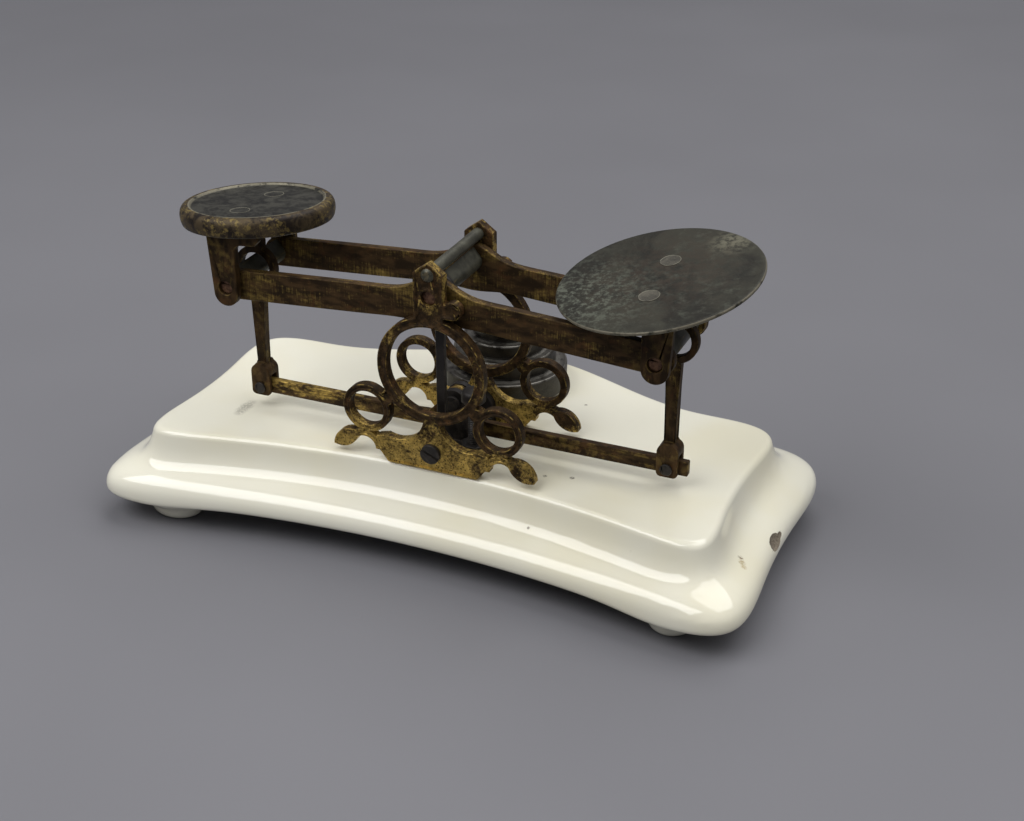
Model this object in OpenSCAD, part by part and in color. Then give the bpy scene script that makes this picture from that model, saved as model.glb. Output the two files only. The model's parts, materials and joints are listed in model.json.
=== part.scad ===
// Roberval postal scale on a glazed ceramic base.
// Millimetres. X runs along the beam, Y from front to back, Z up from the table.
// The beam rocks about Y on two frame heads, and a check link below it keeps both pans level.

/* [Ceramic base] */
// Length of the base over its corner lobes
base_len = 240; // [210:1:300]
// Width of the base between its front and back corners
base_w = 121.5; // [112:0.5:150]
// How far the middle of the front side curves in
front_sag = 17.5; // [8:0.5:19]
// How far the middle of each end curves in
end_sag = 6.7; // [2:0.1:12]
// How far the back side bows out, to carry the stack of weights
back_bow = 20.6; // [16:0.1:30]
// Half length of the bowed part of the back
bow_half = 74; // [60:1:84]
// Height of the flat deck above the table
deck = 31.5; // [28:0.5:45]
// Inset of the deck's edge from the rim
deck_inset = 14.8; // [11:0.1:15.5]
// Height of the widest part of the rim above the table
rim_up = 12; // [11:0.1:14]
// Height of the rim's underside above the table
rim_under = 9.8; // [7:0.1:10.2]
// Thickness of the ceramic
base_wall = 6; // [4.5:0.5:8]
// Radius of each moulded foot
foot_r = 9; // [7:0.1:10]
// Inset of the feet's centres from the ends of the base
foot_end = 30; // [28:0.5:36]
// Inset of the feet's centres from the front and back of the base
foot_side = 11.6; // [10.8:0.1:12.2]

/* [Place of the movement on the base] */
// Distance of the movement to the right of the base's middle
mech_x = 3.4; // [-8:0.1:8]
// Distance of the movement's centre line behind the deck's front edge
mech_back = 20.68; // [19.5:0.01:25]

/* [Frames] */
// Clear distance between the two frames
frame_space = 35; // [34:0.1:44]
// Thickness of each cast frame
frame_t = 3.5; // [2.5:0.1:4.5]
// Height of the fulcrum above the deck
fulcrum_up = 60.7; // [58:0.1:75]
// Height of the big ring's centre above the deck
ring_up = 35.4; // [34:0.1:37.5]
// Outer radius of the big ring
ring_r = 18.7; // [17:0.1:19.5]
// Width of the big ring's band
ring_band = 3.3; // [2.5:0.1:5]
// Outer radius of each small ring
small_r = 8.5; // [7.5:0.1:9]
// Width of a small ring's band
small_band = 2.4; // [2:0.1:4]
// Width of the head that carries the fulcrum
head_w = 10.2; // [10:0.1:15]
// Height of the head's shoulders above the fulcrum
shoulder_up = 8.2; // [6.5:0.1:10]
// Height of the head's gable above its shoulders
gable = 3.7; // [2.5:0.1:7]
// Length of the frame's foot where it stands on the deck
frame_foot = 32; // [26:0.5:34]

/* [Beam] */
// Distance from the fulcrum to each end knife
arm = 74; // [70:0.5:86]
// How far the end knives lie below the fulcrum
knife_drop = 9; // [6:0.1:9.5]
// Depth of each side bar
bar_h = 10.2; // [8:0.1:11]
// Thickness of each side bar
bar_t = 3; // [2:0.1:4]
// Side play between a side bar and its frame head
bar_play = 0.7; // [0.3:0.1:1.2]
// Radius of the round body of the fulcrum bar
fulcrum_body_r = 3.1; // [2.8:0.1:3.6]
// Radius of the round body of each end bar
end_body_r = 3.2; // [2.8:0.1:3.6]
// Radius of the trunnions that the beam and carriers turn on
trunnion_r = 2.4; // [1.8:0.05:2.6]
// Radial clearance of a trunnion in its eye
turn_clear = 0.05; // [0.02:0.01:0.09]
// Width of the balance pointer
pointer_w = 3.2; // [3:0.1:5]
// Length of the balance pointer below the fulcrum
pointer_len = 47; // [35:0.5:48]

/* [Check link] */
// Height of the link's end pins above the deck
link_up = 7.7; // [7:0.1:9]
// Depth of the link
link_h = 5.2; // [4.4:0.1:6]
// Thickness of the link
link_t = 2.6; // [2:0.1:3]
// Side play of the link in its forks
link_play = 0.3; // [0.2:0.05:0.5]
// Radius of the link's end pins
link_pin_r = 1.3; // [1:0.05:1.5]
// Radius of the link's centre pin
pivot_pin_r = 1.6; // [1.2:0.05:2]
// How far the link runs past its right-hand pin
link_tail = 6.4; // [5:0.1:9]

/* [Carriers] */
// Thickness of a carrier's legs
leg_t = 3; // [2.4:0.1:4]
// Side play between a leg and its side bar
leg_play = 0.55; // [0.3:0.05:0.9]
// Radius of a leg's round end
eye_r = 4.4; // [4:0.1:5.4]
// Thickness of the web under a pan
web_t = 2.2; // [1.6:0.1:3]
// Width of the strap that joins the two legs
strap_w = 11; // [8:0.5:14]
// Reach of the bracket at the top of each leg, towards the middle of the scale
bracket_reach = 13.5; // [10:0.5:15]
// Thickness of a carrier's stem, front to back
stem_t = 3.1; // [2.8:0.1:4.4]
// Width of a stem at its upper end
stem_top_w = 5.2; // [5:0.1:8]
// Width of a stem where it meets its fork
stem_low_w = 3.1; // [3:0.1:5]
// Width of a fork
fork_w = 7.2; // [7:0.1:9]
// Wall of a fork at each side of the link
fork_wall = 1.8; // [1.6:0.1:3]
// Gap between the deck and the foot of a fork
fork_gap = 4.6; // [4.5:0.1:5]

/* [Weights pan] */
// Radius of the small pan
small_pan_r = 26.1; // [22:0.1:28]
// Height of the small pan's underside above its knife
small_pan_up = 17.3; // [14:0.1:19]
// Depth of the small pan
small_pan_h = 6.4; // [5.5:0.1:9]
// Thickness of the small pan's metal, which sets the balance of the beam
small_pan_t = 1.55; // [1.2:0.01:2.4]
// Depth of the small pan's face below its rim
small_pan_dip = 0.8; // [0.5:0.1:1.2]
// Lean of the small pan towards the back, degrees
small_pan_back = 4.5; // [0:0.5:7]
// Lean of the small pan away from the middle of the scale, degrees
small_pan_out = 3.8; // [0:0.1:5]
// Distance of the small pan's middle inwards from its knife
small_pan_shift = 2; // [0:0.1:4]

/* [Letter pan] */
// Radius of the letter pan
letter_pan_r = 32.3; // [28:0.1:33.5]
// Height of the letter pan's underside above its knife
letter_pan_up = 19.2; // [19:0.1:26]
// Thickness of the letter pan
letter_pan_t = 1.3; // [1:0.1:2]
// Lean of the letter pan towards the front, degrees
letter_pan_front = 8.5; // [0:0.5:8.5]
// Lean of the letter pan towards the middle of the scale, degrees
letter_pan_in = 9.5; // [0:0.5:9.5]
// Distance of the letter pan's middle inwards from its knife
letter_pan_shift = 5.7; // [0:0.1:6.5]

/* [Weights] */
// Radii of the stacked weights, from the lowest up
weight_r = [22.3, 18.2, 14.6, 11.4];
// Heights of the stacked weights, from the lowest up
weight_h = [8.5, 6.4, 5, 4.1];
// Distance of the stack behind the base's middle
stack_y = 27.8; // [26.3:0.1:30]
// Distance of the stack to the right of the base's middle
stack_x = -1; // [-10:0.5:10]

/* [Hidden] */
$fn = 72;

// Finishes as photographed
glaze = "#e9e6d8";
gilt = "#8a6a2c";
bronze = "#4a3a2a";
iron = "#3b3a38";
pewter = "#5c5a50";

// Fits
press = 0.02;
slip = 0.15;

// Places across the movement, measured from its centre line
frame_in = frame_space / 2;
bar_out = frame_in - bar_play;
bar_in = bar_out - bar_t;
leg_in = bar_out + leg_play;
leg_out = leg_in + leg_t;

// Heights above the deck
knife_up = fulcrum_up - knife_drop;
pivot_up = link_up + knife_drop;
apex_up = fulcrum_up + shoulder_up + gable;

// Tie rod between the heads
tie_r = 2;
tie_tenon_r = 1.3;
tie_up = fulcrum_up + shoulder_up - 0.2;

// Screws, stud and nuts
screw_r = 1.75;
screw_head_r = 3.4;
screw_head_h = 1.6;
screw_up = 6.5;
slot_w = 0.9;
stud_r = 2;
stud_x = 9.5;
stud_top = 26.2;
stud_head_r = 4;
stud_head_h = 5;
nut_h = 3.4;
nut_r = 4.6;
under_nut_r = 5.4;
flange = 0.8;

// Bridge between the frames
bridge_t = 3;
bridge_w = 12;
tab_up = 12.5;
cheek_t = 2.3;
cheek_r = 4.6;
fork_in = link_t / 2 + link_play;
stud_y = -fork_in - cheek_t - nut_r;
ear_r = 7.2;

module on_mech() {
    translate([mech_x, mech_y, deck]) children();
}

// A plate drawn in the XZ plane, standing between y0 and y0 + t
module plate(y0, t) {
    translate([0, y0 + t, 0]) rotate([90, 0, 0]) linear_extrude(t) children();
}

// A round bar along Y
module bar_y(y0, y1, x, z, r) {
    translate([x, y0, z]) rotate([-90, 0, 0]) cylinder(h = y1 - y0, r = r);
}

function arc(cx, cz, r, a0, a1, n) =
    [for (i = [0:n]) let(a = a0 + (a1 - a0) * i / n) [cx + r * cos(a), cz + r * sin(a)]];
function band(cx, cz, r, w, a0, a1, n) =
    concat(arc(cx, cz, r + w / 2, a0, a1, n), arc(cx, cz, r - w / 2, a1, a0, n));
function bezier(p, q, r, s, n) =
    [for (i = [1:n - 1]) let(t = i / n, u = 1 - t)
        u * u * u * p + 3 * u * u * t * q + 3 * u * t * t * r + t * t * t * s];
function unit(v) = v / norm(v);

// Base: closed plan curves, inset by d, joined by a moulded profile

side_steps = 8;
corner_steps = 8;
end_steps = 6;
back_steps = 13;
corner_r = 36.7;
corner_fade = 0.68;

function front_y(x, l, w) = -w + front_sag * (1 - x * x / (l * l));
function end_x(y, l, w) = l - end_sag * (1 - y * y / (w * w));
function back_y(x, w) = w + (x < bow_half ? back_bow * (0.5 + 0.5 * cos(180 * x / bow_half)) : 0);

// Right half of the plan, from the middle of the front to the middle of the back
function half_plan(d) =
    let(
        l = base_len / 2 - d,
        w = base_w / 2 - d,
        r = corner_r - corner_fade * d,
        h = 0.8 * r,
        fx = l - r,
        ey = w - r,
        a = [fx, front_y(fx, l, w)],
        b = [end_x(-ey, l, w), -ey],
        c = [end_x(ey, l, w), ey],
        e = [fx, back_y(fx, w)],
        ta = unit([1, -2 * front_sag * fx / (l * l)]),
        tb = unit([-2 * end_sag * ey / (w * w), 1]),
        tc = unit([2 * end_sag * ey / (w * w), 1])
    )
    concat(
        [for (i = [0:side_steps]) let(x = fx * i / side_steps) [x, front_y(x, l, w)]],
        bezier(a, a + h * ta, b - h * tb, b, corner_steps),
        [for (i = [0:end_steps]) let(y = -ey + 2 * ey * i / end_steps) [end_x(y, l, w), y]],
        bezier(c, c + h * tc, e + [h, 0], e, corner_steps),
        [for (i = [0:back_steps]) let(x = fx * (1 - i / back_steps)) [x, back_y(x, w)]]
    );
function plan(d) =
    let(p = half_plan(d), n = len(p))
    concat(p, [for (i = [n - 2:-1:1]) [-p[i][0], p[i][1]]]);

// Section through the ceramic as [inset, height], from the hollow's roof round to the deck's edge
edge_r = 2.6;
moulding = let(
        deck_edge = [deck_inset, deck - edge_r],
        waist = [0.46 * deck_inset, rim_up + 0.36 * (deck - rim_up)],
        rim = [0, rim_up],
        lip = [2.2, rim_under],
        roof = deck - base_wall
    )
    concat(
        [[deck_inset + base_wall - 1, roof], [deck_inset + 1.5, roof - 2.5]],
        [[waist[0] + base_wall - 1, waist[1] - base_wall + 1], [base_wall + 1.5, rim_up - 1]],
        [[base_wall + 1, rim_under], lip],
        bezier(lip, [0.7, rim_under], [0, rim_under + 0.5], rim, 4),
        [rim],
        bezier(rim, [0, rim_up + 3.6], [waist[0] - 4.2, waist[1] - 1.6], waist, 5),
        [waist],
        bezier(waist, waist + [3.7, 1.4], deck_edge - [1.6, 7.4], deck_edge, 5),
        [for (i = [0:4]) let(a = 90 * i / 4)
            [deck_inset + edge_r * (1 - cos(a)), deck - edge_r * (1 - sin(a))]]
    );

module base_body() {
    rings = [for (m = moulding) [for (p = plan(m[0])) [p[0], p[1], m[1]]]];
    n = len(rings[0]);
    last = len(rings) - 1;
    points = [for (ring = rings) each ring];
    walls = [for (j = [0:last - 1], i = [0:n - 1])
        let(k = (i + 1) % n)
        each [[j * n + i, (j + 1) * n + i, (j + 1) * n + k], [j * n + i, (j + 1) * n + k, j * n + k]]];
    roof_face = [for (i = [0:n - 1]) i];
    deck_face = [for (i = [n - 1:-1:0]) last * n + i];
    polyhedron(points, concat(walls, [roof_face, deck_face]));
}

function foot_x() = base_len / 2 - foot_end;
function foot_ys() = [
    front_y(foot_x(), base_len / 2, base_w / 2) + foot_side,
    back_y(foot_x(), base_w / 2) - foot_side
];

// A moulded foot: a pad in the corner of the rim, with a rounded sole
module foot() {
    sole = 4;
    top = rim_up + 1.6;
    rotate_extrude() polygon(concat(
        [[0, 0]],
        arc(foot_r - sole, sole, sole, -90, 0, 8),
        [[foot_r, top - 3], [foot_r - 3, top], [0, top]]
    ));
}

// Middle of the base's depth, from which the other pieces are measured
function middle() = let(ys = [for (p = plan(0)) p[1]]) (min(ys) + max(ys)) / 2;

mech_y = front_y(mech_x, base_len / 2 - deck_inset, base_w / 2 - deck_inset) - middle() + mech_back;

module base() color(glaze) {
    difference() {
        translate([0, -middle(), 0]) {
            base_body();
            for (s = [-1, 1], y = foot_ys()) translate([s * foot_x(), y, 0]) foot();
        }
        translate([mech_x + stud_x, mech_y + stud_y, deck - base_wall - 2])
            cylinder(h = base_wall + 4, r = stud_r + slip);
    }
}

// Frames

small_x = 23.2;
small_up = 18.1;
gap_x = 12.6;
gap_up = 18.9;
gap_r = 9.9;
ear_x = 8;
leaf_long = 5.6;
leaf_half = 2.9;

// A pointed leaf made of two arcs, lying along X
module leaf() {
    big = (leaf_long * leaf_long + leaf_half * leaf_half) / (2 * leaf_half);
    intersection() {
        translate([0, big - leaf_half]) circle(big);
        translate([0, leaf_half - big]) circle(big);
    }
}

module frame_foot_shape() {
    half = frame_foot / 2;
    difference() {
        polygon([
            [-half, 0], [half, 0], [half + 4, 5], [half + 4, 8.8], [half, 9.8],
            [half, ring_up - ring_r + 2], [-half, ring_up - ring_r + 2],
            [-half, 9.8], [-half - 4, 8.8], [-half - 4, 5]
        ]);
        for (s = [-1, 1]) translate([s * gap_x, gap_up]) circle(gap_r);
        for (s = [-1, 1]) translate([s * (half + 5.2) - 6, 10.4]) square([12, 14]);
    }
}

module frame_shape() {
    half = frame_foot / 2;
    difference() {
        union() {
            frame_foot_shape();
            translate([0, ring_up]) circle(ring_r);
            polygon([
                [-head_w / 2, ring_up + ring_r - 2], [head_w / 2, ring_up + ring_r - 2],
                [head_w / 2, fulcrum_up + shoulder_up], [0, apex_up],
                [-head_w / 2, fulcrum_up + shoulder_up]
            ]);
            translate([ear_x, fulcrum_up - 3]) circle(3);
            translate([ear_x - 4, fulcrum_up - 6]) square([4, 5]);
            for (m = [0, 1]) mirror([m, 0]) {
                translate([small_x, small_up]) circle(small_r);
                translate([15.9, small_up + 4.9]) circle(2.4);
                polygon(band(half + 8.4, 3.6, 5.2, 2.4, 20, 180, 16));
                translate([half + 15.3, 5.7]) rotate(-33) leaf();
            }
        }
        translate([0, ring_up]) circle(ring_r - ring_band);
        for (s = [-1, 1]) translate([s * small_x, small_up]) circle(small_r - small_band);
    }
}

module frame_plate(y0) {
    difference() {
        plate(y0, frame_t) frame_shape();
        bar_y(y0 - 1, y0 + frame_t + 1, 0, fulcrum_up, trunnion_r + turn_clear);
        bar_y(y0 - 1, y0 + frame_t + 1, 0, tie_up, tie_tenon_r + press);
        bar_y(y0 - 1, y0 + frame_t + 1, 0, screw_up, screw_r + slip);
    }
}

module front_frame() color(gilt) on_mech() frame_plate(-frame_in - frame_t);

module rear_frame() color(gilt) on_mech() frame_plate(frame_in);

// Bridge: a foot between the frames, a tab at each frame and a fork for the check link

module bridge() color(iron) on_mech() {
    difference() {
        union() {
            translate([-bridge_w / 2, -frame_in, 0]) cube([bridge_w, 2 * frame_in, bridge_t]);
            translate([stud_x, stud_y, 0]) cylinder(h = bridge_t, r = ear_r);
            for (y0 = [-frame_in, frame_in - bridge_t]) plate(y0, bridge_t) {
                translate([-bridge_w / 2, 0]) square([bridge_w, tab_up - bridge_w / 2]);
                translate([0, tab_up - bridge_w / 2]) circle(bridge_w / 2);
            }
            for (y0 = [-fork_in - cheek_t, fork_in]) plate(y0, cheek_t) {
                polygon([[-bridge_w / 2, 0], [bridge_w / 2, 0], [bridge_w / 2, bridge_t],
                    [cheek_r, pivot_up], [-cheek_r, pivot_up], [-bridge_w / 2, bridge_t]]);
                translate([0, pivot_up]) circle(cheek_r);
            }
        }
        translate([stud_x, stud_y, -1]) cylinder(h = bridge_t + 2, r = stud_r + press);
        for (y0 = [-frame_in - 1, frame_in - bridge_t - 1])
            bar_y(y0, y0 + bridge_t + 2, 0, screw_up, screw_r + press);
        bar_y(-fork_in - cheek_t - 1, fork_in + cheek_t + 1, 0, pivot_up, pivot_pin_r + press);
    }
}

// A slotted screw whose head bears on y = 0, with the shank running to +Y
module slotted_screw(shank) {
    difference() {
        union() {
            bar_y(-screw_head_h, 0, 0, 0, screw_head_r);
            bar_y(-0.1, shank, 0, 0, screw_r);
        }
        rotate([0, 25, 0]) translate([-screw_head_r - 1, -screw_head_h - 1, -slot_w / 2])
            cube([2 * screw_head_r + 2, 1.9, slot_w]);
    }
}

module front_frame_screw() color(iron) on_mech()
    translate([0, -frame_in - frame_t, screw_up]) slotted_screw(frame_t + bridge_t);

module rear_frame_screw() color(iron) on_mech()
    translate([0, frame_in + frame_t, screw_up]) rotate([0, 0, 180]) slotted_screw(frame_t + bridge_t);

// Stud through the base, with its nut on the bridge and one inside the hollow

module stud() color(iron) on_mech() translate([stud_x, stud_y, 0]) {
    low = -base_wall - nut_h - 1.5;
    translate([0, 0, low]) cylinder(h = stud_top - low - stud_head_h, r = stud_r);
    translate([0, 0, stud_top - stud_head_h]) cylinder(h = stud_head_h, r = stud_head_r);
}

module stud_nut() color(iron) on_mech() translate([stud_x, stud_y, bridge_t]) difference() {
    union() {
        cylinder(h = 1, r = nut_r + flange);
        cylinder(h = nut_h, r = nut_r, $fn = 6);
    }
    translate([0, 0, -1]) cylinder(h = nut_h + 2, r = stud_r + press);
}

module under_nut() color(iron) on_mech() translate([stud_x, stud_y, -base_wall - nut_h]) difference() {
    union() {
        cylinder(h = nut_h, r = under_nut_r, $fn = 6);
        translate([0, 0, nut_h - 1]) cylinder(h = 1, r = under_nut_r + flange);
    }
    translate([0, 0, -1]) cylinder(h = nut_h + 2, r = stud_r + press);
}

// Tie rod: shouldered between the heads, with its tenons peened over outside
module tie_rod() color(bronze) on_mech() {
    bar_y(-frame_in, frame_in, 0, tie_up, tie_r);
    bar_y(-frame_in - frame_t - 0.4, frame_in + frame_t + 0.4, 0, tie_up, tie_tenon_r);
    for (s = [-1, 1]) translate([0, s * (frame_in + frame_t), tie_up]) rotate([-s * 90, 0, 0])
        cylinder(h = 0.8, r1 = tie_r + 0.3, r2 = tie_tenon_r);
}

module link_pivot_pin() color(iron) on_mech() {
    reach = link_t / 2 + link_play + cheek_t;
    bar_y(-reach - 0.3, reach + 0.3, 0, pivot_up, pivot_pin_r);
    bar_y(-reach - 1.1, -reach, 0, pivot_up, pivot_pin_r + 1);
}

// Beam: two side bars that rise to a hump at the fulcrum, on three cross bars

hump_w = 8.5;
bar_steps = 26;

function soft_abs(x) = sqrt(x * x + 9) - 3;
function bar_mid(x) = -4.4 - (knife_drop - 4.4) * soft_abs(x) / soft_abs(arm);
function hump(x) = exp(-x * x / (hump_w * hump_w));
function spread(i) = let(t = i / bar_steps) arm * (0.45 * t + 0.55 * t * t);
function bar_edge(side, rise) =
    [for (i = [-bar_steps:bar_steps])
        let(x = sign(i) * spread(abs(i)))
        [x, bar_mid(x) + side * (bar_h / 2 - 0.5 * hump(x / 2.2)) + rise * hump(x)]];

module bar_shape() {
    top = bar_edge(1, 5.2);
    low = bar_edge(-1, -1.9);
    polygon(concat(low, [for (i = [len(top) - 1:-1:0]) top[i]]));
    for (s = [-1, 1]) translate([s * arm, -knife_drop]) circle(bar_h / 2);
}

module side_bar(y0) {
    difference() {
        translate([0, 0, fulcrum_up]) plate(y0, bar_t) bar_shape();
        bar_y(y0 - 1, y0 + bar_t + 1, 0, fulcrum_up, trunnion_r + press);
        for (s = [-1, 1]) bar_y(y0 - 1, y0 + bar_t + 1, s * arm, knife_up, trunnion_r + press);
    }
}

module front_side_bar() color(bronze) on_mech() side_bar(-bar_out);

module rear_side_bar() color(bronze) on_mech() side_bar(bar_in);

// A cross bar: a drop-shaped knife body between the side bars, with a round trunnion at each end
module cross_bar(body_r, tip, reach) {
    plate(-bar_in, 2 * bar_in) {
        circle(body_r);
        polygon([[-body_r * cos(38), body_r * sin(38)], [0, tip], [body_r * cos(38), body_r * sin(38)]]);
    }
    bar_y(-reach, reach, 0, 0, trunnion_r);
}

module fulcrum_bar() color(pewter) on_mech() translate([0, 0, fulcrum_up])
    cross_bar(fulcrum_body_r, body_tip(fulcrum_body_r), frame_in + frame_t + 0.2);

module end_bar(s) {
    translate([s * arm, 0, knife_up]) cross_bar(end_body_r, body_tip(end_body_r), leg_out + 0.3);
}

function body_tip(r) = r / sin(38) - 0.2;

module left_end_bar() color(pewter) on_mech() end_bar(-1);

module right_end_bar() color(pewter) on_mech() end_bar(1);

// Balance pointer: hangs from the fulcrum bar, close behind the front side bar
module pointer() color(iron) on_mech() {
    t = 1.8;
    y0 = -bar_in + 0.6;
    difference() {
        translate([0, 0, fulcrum_up]) plate(y0, t) {
            circle(fulcrum_body_r + 2.4);
            translate([-pointer_w / 2, -pointer_len]) square([pointer_w, pointer_len]);
        }
        translate([0, 0, fulcrum_up]) plate(y0 - 1, t + 2) {
            circle(fulcrum_body_r + press);
            polygon([for (p = [[-1, sin(38)], [0, body_tip(1) + 0.2], [1, sin(38)]])
                (fulcrum_body_r + press) * [p[0] * cos(38), p[1]]]);
        }
    }
}

// Carriers: two legs and a looped stem under a web that holds the pan.
// Each is drawn from its knife, with s = -1 at the left and 1 at the right.

loop_gap = 0.4;
loop_in = body_tip(end_body_r) + loop_gap;
loop_r = loop_in + 2.3;
leg_toe = 2;
bracket_t = 1.4;
bracket_fillet = 2.6;
fork_h = 12;
rivet_y = 10.8;
rivet_r = 1.6;
rivet_head_r = 3.2;
sink = 1;
boss_r = 3.4;

function stem_foot() = fork_gap - knife_up;
function stem_pin() = link_up - knife_up;

// Puts its children in the leaning plane of a pan's underside
module pan_plane(up, front, inward) {
    translate([0, 0, up]) rotate([front, -inward, 0]) children();
}

// The same, with its middle moved inwards from the knife
module pan_seat(s, up, front, inward, shift) {
    pan_plane(up, front, inward) translate([-s * shift, 0, 0]) children();
}

// Height of the leaning plane above the knife, at x and y
function plane_up(x, y, up, front, inward) = up + tan(inward) * x + tan(front) / cos(inward) * y;

// A leg in its own plane at y: a round eye, a flared outer edge and a bracket towards the middle
module leg_shape(s, y, up, front, inward) {
    start = eye_r + bracket_fillet;
    ledge = plane_up(-s * start, y, up, front, inward) - web_t - bracket_t;
    last = plane_up(-s * bracket_reach, y, up, front, inward) - web_t - bracket_t;
    translate([0, -leg_toe]) circle(eye_r);
    mirror([max(s, 0), 0]) polygon(concat(
        [[-eye_r, -leg_toe], [eye_r, -leg_toe]],
        arc(start, ledge - bracket_fillet, bracket_fillet, 180, 90, 6),
        [[bracket_reach - 1.6, last], [bracket_reach, last + 1.8], [bracket_reach, up + 8], [-eye_r - 2, up + 8]]
    ));
}

module stem_shape(up) {
    neck = -loop_r + 1.4;
    head = stem_foot() + fork_h;
    circle(loop_r);
    polygon([[-stem_top_w / 2 - 0.6, 0], [stem_top_w / 2 + 0.6, 0],
        [stem_top_w / 2 + 0.6, up + 6], [-stem_top_w / 2 - 0.6, up + 6]]);
    polygon([[-stem_low_w / 2, head - 1], [stem_low_w / 2, head - 1],
        [stem_top_w / 2, neck], [-stem_top_w / 2, neck]]);
}

module fork_shape() {
    low = stem_foot();
    half = fork_w / 2;
    polygon(concat(
        arc(half - 1.6, low + 1.6, 1.6, -90, 0, 6),
        arc(half - 3, low + fork_h - 3.4, 3, 0, 60, 6),
        [[stem_low_w / 2, low + fork_h], [-stem_low_w / 2, low + fork_h]],
        arc(-half + 3, low + fork_h - 3.4, 3, 120, 180, 6),
        arc(-half + 1.6, low + 1.6, 1.6, 180, 270, 6)
    ));
}

module carrier(s, up, front, inward, shift) {
    fork_half = fork_in + fork_wall;
    strap_out = max(strap_w / 2 - shift, stem_top_w / 2 + 0.6);
    big = 3 * leg_out;
    difference() {
        union() {
            intersection() {
                union() {
                    plate(-leg_out, leg_t) leg_shape(s, -leg_out, up, front, inward);
                    plate(leg_in, leg_t) leg_shape(s, leg_in, up, front, inward);
                    plate(-stem_t / 2, stem_t) stem_shape(up);
                }
                pan_plane(up, front, inward) translate([-big, -big, -3 * big])
                    cube([2 * big, 2 * big, 3 * big]);
            }
            pan_plane(up, front, inward) mirror([max(-s, 0), 0, 0])
                translate([-shift - strap_w / 2, -leg_out + 0.6, -web_t])
                cube([shift + strap_w / 2 + strap_out, 2 * leg_out - 1.2, web_t]);
            plate(-fork_half, 2 * fork_half) fork_shape();
        }
        translate([-fork_w, -fork_in, stem_foot() - 1])
            cube([2 * fork_w, 2 * fork_in, stem_pin() - stem_foot() + link_h / 2 + 2.6]);
        bar_y(-leg_out - 1, -leg_in + 1, 0, 0, trunnion_r + turn_clear);
        bar_y(leg_in - 1, leg_out + 1, 0, 0, trunnion_r + turn_clear);
        bar_y(-stem_t, stem_t, 0, 0, loop_in);
        bar_y(-fork_half - 1, fork_half + 1, 0, stem_pin(), link_pin_r + press);
        pan_seat(s, up, front, inward, shift) for (y = [-rivet_y, rivet_y])
            translate([0, y, -web_t - 1]) cylinder(h = web_t + 2, r = rivet_r + press);
    }
}

module at_knife(s) {
    on_mech() translate([s * arm, 0, knife_up]) children();
}

module left_carrier() color(bronze) at_knife(-1)
    carrier(-1, small_pan_up, -small_pan_back, small_pan_out, small_pan_shift);

module right_carrier() color(bronze) at_knife(1)
    carrier(1, letter_pan_up, letter_pan_front, letter_pan_in, letter_pan_shift);

// The small pan is an inverted dish: a flat face in a raised rim, a rounded skirt and two bosses for rivets
module small_pan() {
    r = small_pan_r;
    h = small_pan_h;
    t = small_pan_t;
    face = h - small_pan_dip;
    ring = r - 3.8;
    brim = 0.5 * h;
    difference() {
        rotate_extrude() polygon(concat(
            [[0, face - t], [ring - 1, face - t]],
            bezier([ring - 1, face - t], [r - t - 1.5, face - t], [r - t, brim], [r - t - 0.7, 0], 6),
            [[r - t - 0.7, 0]],
            arc(r - 1.5, 0.6, 0.6, -90, 0, 4),
            bezier([r - 0.9, 0.6], [r, brim], [r - 0.5, h - 0.2], [ring + 0.9, h], 8),
            [[ring + 0.9, h], [ring, h], [ring - small_pan_dip, face], [0, face]]
        ));
        rivet_holes(face);
    }
    difference() {
        for (y = [-rivet_y, rivet_y]) translate([0, y, 0]) cylinder(h = face - t / 2, r = boss_r);
        rivet_holes(face);
    }
}

module letter_pan() {
    r = letter_pan_r;
    t = letter_pan_t;
    difference() {
        rotate_extrude() polygon(concat(
            [[0, 0]],
            arc(r - t / 2 - 0.1, t / 2 + 0.1, t / 2 + 0.1, -90, 90, 8),
            [[r - 1.8, t], [0, t]]
        ));
        rivet_holes(t);
    }
}

// Holes through a pan whose face lies h above its underside, countersunk from the face
module rivet_holes(h) {
    for (y = [-rivet_y, rivet_y]) translate([0, y, 0]) {
        translate([0, 0, -1]) cylinder(h = h + 1, r = rivet_r + press);
        translate([0, 0, h - sink]) cylinder(h = sink, r1 = rivet_r + press, r2 = rivet_head_r + press);
        translate([0, 0, h - 0.001]) cylinder(h = 1, r = rivet_head_r + press);
    }
}

// Two rivets, filed flush with the pan's face and headed below the web
module rivets(h) {
    for (y = [-rivet_y, rivet_y]) translate([0, y, 0]) {
        translate([0, 0, -web_t - 0.5]) cylinder(h = h + web_t, r = rivet_r);
        translate([0, 0, h - sink]) cylinder(h = sink, r1 = rivet_r, r2 = rivet_head_r);
        translate([0, 0, -web_t - 0.6]) cylinder(h = 0.6, r1 = 1.9, r2 = 2.2);
    }
}

module left_seat() at_knife(-1)
    pan_seat(-1, small_pan_up, -small_pan_back, small_pan_out, small_pan_shift) children();

module right_seat() at_knife(1)
    pan_seat(1, letter_pan_up, letter_pan_front, letter_pan_in, letter_pan_shift) children();

module left_pan() color(pewter) left_seat() small_pan();

module left_pan_rivets() color(bronze) left_seat() rivets(small_pan_h - small_pan_dip);

module right_pan() color(pewter) right_seat() letter_pan();

module right_pan_rivets() color(bronze) right_seat() rivets(letter_pan_t);

module link_pin(s) {
    reach = link_t / 2 + link_play + fork_wall + 0.3;
    at_knife(s) {
        bar_y(-reach, reach, 0, stem_pin(), link_pin_r);
        bar_y(-reach - 0.6, -reach + 0.3, 0, stem_pin(), link_pin_r + 0.7);
    }
}

module left_link_pin() color(iron) link_pin(-1);

module right_link_pin() color(iron) link_pin(1);

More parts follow.
